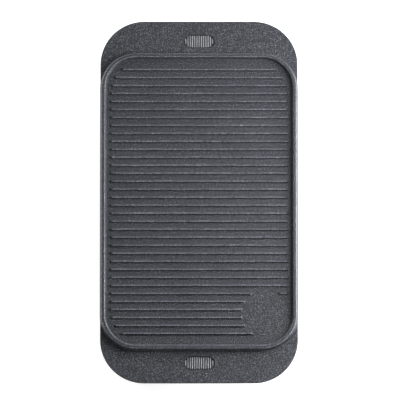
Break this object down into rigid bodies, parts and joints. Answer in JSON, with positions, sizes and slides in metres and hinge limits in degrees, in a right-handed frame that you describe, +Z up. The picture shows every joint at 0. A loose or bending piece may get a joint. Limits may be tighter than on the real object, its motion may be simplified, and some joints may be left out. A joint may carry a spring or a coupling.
{
  "type": "tabletop hibachi grill",
  "caption": "Tabletop charcoal hibachi: a rimmed, ribbed cast-iron plate with flat end grips lifts off a sheet-steel firebox with ash drawer, dampers, coal grate and bail handles.",
  "frame": {"origin": "on the table under the middle of the grill", "axes": "+Z up; the plate's long axis is Y, with the near end at -Y; the ash drawer and the dampers face +X"},
  "size_m": [0.2746, 0.508, 0.144],
  "materials": {
    "cast_iron": "fine sand-cast surface with a matt dark grey non-stick coat",
    "black_enamel": "black heat-resistant enamel, satin",
    "bright_steel": "plain bright steel",
    "sheet_steel": "mill-finish sheet steel, slightly heat-darkened",
    "beech": "turned and oiled beech"
  },
  "bodies": {
    "firebox": {"bottom_plate": "sheet_steel", "far_damper_lower_guide": "black_enamel", "far_damper_upper_guide": "black_enamel", "far_drawer_rail": "sheet_steel", "far_grate_ledge": "sheet_steel", "far_handle_bracket": "bright_steel", "far_left_bracket_rivet": "bright_steel", "far_left_foot": "cast_iron", "far_left_foot_nut": "bright_steel", "far_left_foot_screw": "bright_steel", "far_left_liner_rivet": "bright_steel", "far_left_rest_rivet": "bright_steel", "far_plate_rest": "sheet_steel", "far_right_bracket_rivet": "bright_steel", "far_right_foot": "cast_iron", "far_right_foot_nut": "bright_steel", "far_right_foot_screw": "bright_steel", "far_right_liner_rivet": "bright_steel", "far_right_rest_rivet": "bright_steel", "inner_liner": "sheet_steel", "near_damper_lower_guide": "black_enamel", "near_damper_upper_guide": "black_enamel", "near_drawer_rail": "sheet_steel", "near_grate_ledge": "sheet_steel", "near_handle_bracket": "bright_steel", "near_left_bracket_rivet": "bright_steel", "near_left_foot": "cast_iron", "near_left_foot_nut": "bright_steel", "near_left_foot_screw": "bright_steel", "near_left_liner_rivet": "bright_steel", "near_left_rest_rivet": "bright_steel", "near_plate_rest": "sheet_steel", "near_right_bracket_rivet": "bright_steel", "near_right_foot": "cast_iron", "near_right_foot_nut": "bright_steel", "near_right_foot_screw": "bright_steel", "near_right_liner_rivet": "bright_steel", "near_right_rest_rivet": "bright_steel", "outer_shell": "black_enamel"},
    "plate": {"grill_plate": "cast_iron"},
    "coal_grate": {"coal_grate": "sheet_steel", "near_lifting_loop": "bright_steel", "far_lifting_loop": "bright_steel"},
    "ash_drawer": {"ash_pan": "sheet_steel", "drawer_front": "black_enamel", "drawer_knob": "bright_steel", "drawer_knob_screw": "bright_steel"},
    "near_damper": {"near_damper": "black_enamel", "near_damper_knob": "bright_steel"},
    "near_handle": {"near_bail": "bright_steel", "near_left_ferrule": "bright_steel", "near_right_ferrule": "bright_steel"},
    "near_grip": {"near_wood_grip": "beech"},
    "far_damper": {"far_damper": "black_enamel", "far_damper_knob": "bright_steel"},
    "far_handle": {"far_bail": "bright_steel", "far_left_ferrule": "bright_steel", "far_right_ferrule": "bright_steel"},
    "far_grip": {"far_wood_grip": "beech"}
  },
  "joints": [
    {"name": "plate_lift", "type": "slide", "parent": "firebox", "child": "plate", "axis": [0, 0, 1], "range_m": [0, 0.12]},
    {"name": "coal_grate_lift", "type": "slide", "parent": "firebox", "child": "coal_grate", "axis": [0, 0, 1], "range_m": [0, 0.025]},
    {"name": "ash_drawer_slide", "type": "slide", "parent": "firebox", "child": "ash_drawer", "axis": [1, 0, 0], "range_m": [0, 0.17]},
    {"name": "near_damper_slide", "type": "slide", "parent": "firebox", "child": "near_damper", "axis": [0, 1, 0], "range_m": [0, 0.0045]},
    {"name": "far_damper_slide", "type": "slide", "parent": "firebox", "child": "far_damper", "axis": [0, 1, 0], "range_m": [0, 0.0045]},
    {"name": "near_handle_swing", "type": "hinge", "parent": "firebox", "child": "near_handle", "pos_m": [0, -0.214, 0.092], "axis": [-1, 0, 0], "range_deg": [0, 120]},
    {"name": "near_grip_turn", "type": "hinge", "parent": "near_handle", "child": "near_grip", "pos_m": [0, -0.214, 0.054], "axis": [-1, 0, 0], "continuous": true},
    {"name": "far_handle_swing", "type": "hinge", "parent": "firebox", "child": "far_handle", "pos_m": [0, 0.214, 0.092], "axis": [1, 0, 0], "range_deg": [0, 120]},
    {"name": "far_grip_turn", "type": "hinge", "parent": "far_handle", "child": "far_grip", "pos_m": [0, 0.214, 0.054], "axis": [1, 0, 0], "continuous": true}
  ]
}
